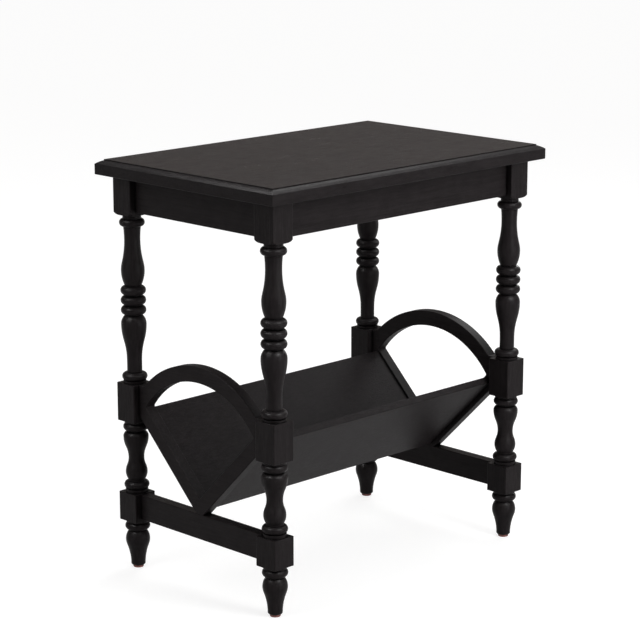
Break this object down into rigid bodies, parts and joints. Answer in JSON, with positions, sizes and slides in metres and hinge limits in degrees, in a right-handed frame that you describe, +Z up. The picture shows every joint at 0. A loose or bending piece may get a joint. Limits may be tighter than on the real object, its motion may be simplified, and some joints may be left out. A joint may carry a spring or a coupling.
{
  "type": "magazine table",
  "caption": "Black side table on turned legs, with a V-shaped magazine trough hung between two arched end panels and low end stretchers.",
  "frame": {"origin": "on the floor, under the middle of the table top", "axes": "+Z up, +X along the table's length to the right, -Y the front with the full-width rack panel"},
  "size_m": [0.6, 0.39, 0.6516],
  "materials": {
    "black_paint": "satin black paint on wood",
    "bare_wood": "bare hardwood",
    "steel": "zinc plated",
    "glide": "reddish brown, matte"
  },
  "bodies": {
    "root": {"table_top": "black_paint", "leg_front_left": "black_paint", "leg_front_right": "black_paint", "leg_back_left": "black_paint", "leg_back_right": "black_paint", "apron_front": "black_paint", "apron_back": "black_paint", "apron_left": "black_paint", "apron_right": "black_paint", "stretcher_left": "black_paint", "stretcher_right": "black_paint", "end_panel_left": "black_paint", "end_panel_right": "black_paint", "rack_front_panel": "black_paint", "rack_back_panel": "black_paint", "corner_block_front_left": "bare_wood", "corner_block_front_right": "bare_wood", "corner_block_back_left": "bare_wood", "corner_block_back_right": "bare_wood", "apron_dowels": "bare_wood", "stretcher_dowels": "bare_wood", "end_panel_dowels": "bare_wood", "rack_dowels": "bare_wood", "seam_dowels": "bare_wood", "hanger_bolts": "steel", "hanger_washers": "steel", "hanger_nuts": "steel", "top_screws": "steel", "stretcher_screws": "steel", "glide_front_left": "glide", "glide_front_right": "glide", "glide_back_left": "glide", "glide_back_right": "glide"}
  },
  "joints": []
}
